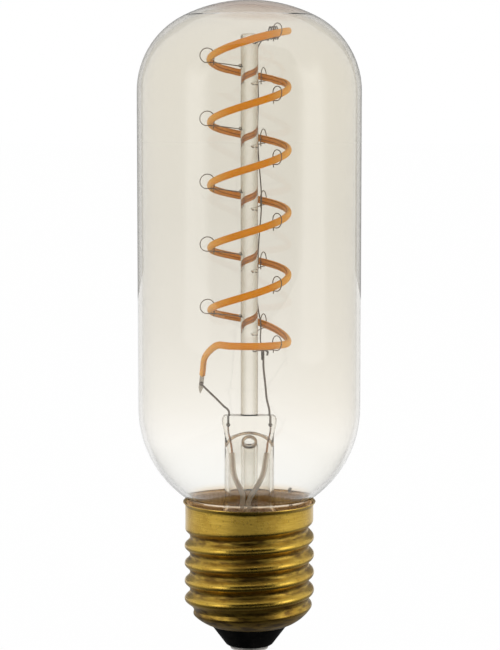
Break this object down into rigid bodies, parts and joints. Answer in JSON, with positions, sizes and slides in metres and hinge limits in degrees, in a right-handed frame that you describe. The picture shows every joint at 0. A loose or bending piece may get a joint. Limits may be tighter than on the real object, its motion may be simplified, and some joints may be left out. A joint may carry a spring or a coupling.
{
  "type": "tubular light bulb",
  "caption": "Clear tubular LED filament lamp: a spiral filament held by wire hooks on a glass rod, in a long round-ended glass tube on an E27 screw cap.",
  "frame": {"origin": "middle of the centre contact's underside, on the lamp's axis", "axes": "+Z along the axis from the contact to the dome, -Y to the front, +X to the right seen from the front"},
  "size_m": [0.045, 0.045, 0.1315],
  "materials": {
    "tinted_glass": "clear, warm smoky tint, smooth",
    "stem_glass": "clear, smooth",
    "phosphor": "amber silicone with phosphor, satin",
    "tab_metal": "plain strip metal",
    "nickel_wire": "drawn wire, dull grey brown",
    "copper_wire": "copper-clad wire, dull",
    "sleeve": "pale translucent sleeving",
    "hook_wire": "fine drawn wire",
    "cap_brass": "rolled brass with a worn patina",
    "black_insulator": "black glassy insulator",
    "contact_metal": "tinned, dull",
    "cement": "brown baked cement, grainy",
    "circuit_board": "pale board laminate",
    "capacitor_can": "black film sleeve",
    "chip_body": "black moulded body",
    "resistor_coat": "green-grey lacquer",
    "hookup_wire": "tinned copper wire"
  },
  "bodies": {
    "root": {"glass_envelope": "tinted_glass", "stem_flare": "stem_glass", "exhaust_tube": "stem_glass", "glass_rod": "stem_glass", "led_filament": "phosphor", "filament_tab_upper": "tab_metal", "filament_tab_lower": "tab_metal", "lead_wire_left": "nickel_wire", "lead_wire_right": "nickel_wire", "riser_wire": "nickel_wire", "seal_wire_left": "copper_wire", "seal_wire_right": "copper_wire", "outer_lead_left": "copper_wire", "outer_lead_right": "copper_wire", "lead_sleeve_left": "sleeve", "lead_sleeve_right": "sleeve", "screw_shell": "cap_brass", "cap_insulator": "black_insulator", "centre_contact": "contact_metal", "capping_cement": "cement", "driver_board": "circuit_board", "smoothing_capacitor": "capacitor_can", "driver_chip": "chip_body", "bridge_rectifier": "chip_body", "fuse_resistor": "resistor_coat", "live_lead": "hookup_wire", "neutral_lead": "hookup_wire", "hook_left_1": "hook_wire", "hook_left_2": "hook_wire", "hook_left_3": "hook_wire", "hook_left_4": "hook_wire", "hook_left_5": "hook_wire", "hook_back_1": "hook_wire", "hook_back_2": "hook_wire", "hook_back_3": "hook_wire", "hook_back_4": "hook_wire", "hook_back_5": "hook_wire", "hook_front_1": "hook_wire", "hook_front_2": "hook_wire", "hook_front_3": "hook_wire", "hook_front_4": "hook_wire", "hook_front_5": "hook_wire", "hook_front_6": "hook_wire"}
  },
  "joints": []
}
